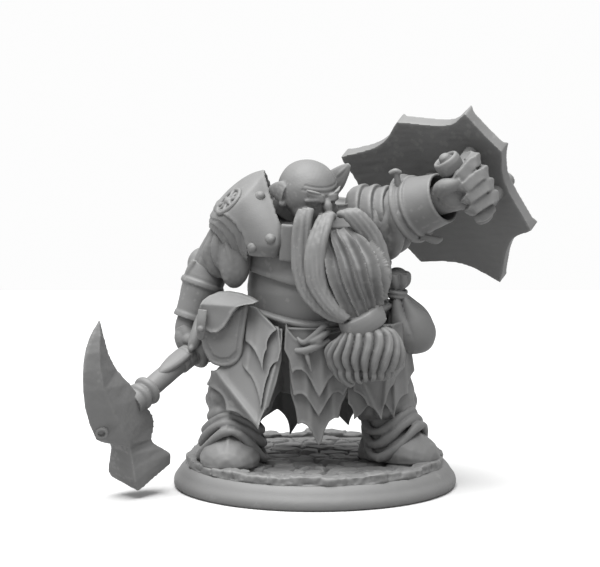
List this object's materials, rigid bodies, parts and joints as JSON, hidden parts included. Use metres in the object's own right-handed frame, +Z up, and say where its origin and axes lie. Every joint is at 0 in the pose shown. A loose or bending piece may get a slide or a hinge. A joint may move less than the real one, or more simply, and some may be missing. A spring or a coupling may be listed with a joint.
{
  "type": "tabletop miniature figure",
  "caption": "Armoured dwarf miniature on a round cobbled base, war pick held low in one fist and a scalloped shield raised on the other arm.",
  "frame": {"origin": "centre of the round base's underside", "axes": "+Z up, the figure faces -Y, its right hand and the war pick are on the -X side, its shield on the +X side"},
  "size_m": [0.0394, 0.0254, 0.0351],
  "materials": {
    "cast_plastic": "matt unpainted mid-grey cast plastic"
  },
  "bodies": {
    "root": {"back_cloth": "cast_plastic", "base": "cast_plastic", "beard": "cast_plastic", "beard_ring": "cast_plastic", "beard_tuft": "cast_plastic", "belly_plate": "cast_plastic", "belt": "cast_plastic", "boot_folds_left": "cast_plastic", "boot_folds_right": "cast_plastic", "boot_left": "cast_plastic", "boot_right": "cast_plastic", "breastplate": "cast_plastic", "coin_sack": "cast_plastic", "eye_peg": "cast_plastic", "forearm_right": "cast_plastic", "forearm_strap": "cast_plastic", "gorget": "cast_plastic", "grip_wrap": "cast_plastic", "hammer_head": "cast_plastic", "hand_left": "cast_plastic", "hand_right": "cast_plastic", "head": "cast_plastic", "moustache_left": "cast_plastic", "moustache_right": "cast_plastic", "pauldron_lames": "cast_plastic", "pauldron_motif": "cast_plastic", "pauldron_plate": "cast_plastic", "pauldron_rivets": "cast_plastic", "paving_stones": "cast_plastic", "pouch_body": "cast_plastic", "pouch_flap": "cast_plastic", "pouch_strap": "cast_plastic", "rim_stones": "cast_plastic", "sack_neck": "cast_plastic", "shaft_collar": "cast_plastic", "shield": "cast_plastic", "shield_boss": "cast_plastic", "shield_grip": "cast_plastic", "shield_rivets": "cast_plastic", "shoulder_lames": "cast_plastic", "skirt_left_lower": "cast_plastic", "skirt_left_upper": "cast_plastic", "skirt_right_lower": "cast_plastic", "skirt_right_middle": "cast_plastic", "skirt_right_upper": "cast_plastic", "skirt_side_left": "cast_plastic", "skirt_side_right": "cast_plastic", "sleeve_left": "cast_plastic", "tabard_lower": "cast_plastic", "tabard_middle": "cast_plastic", "tabard_upper": "cast_plastic", "torso": "cast_plastic", "trouser_leg_left": "cast_plastic", "trouser_leg_right": "cast_plastic", "upper_arm_right": "cast_plastic", "vambrace_left": "cast_plastic", "vambrace_right": "cast_plastic", "waist_knot": "cast_plastic", "weapon_shaft": "cast_plastic"}
  },
  "joints": []
}
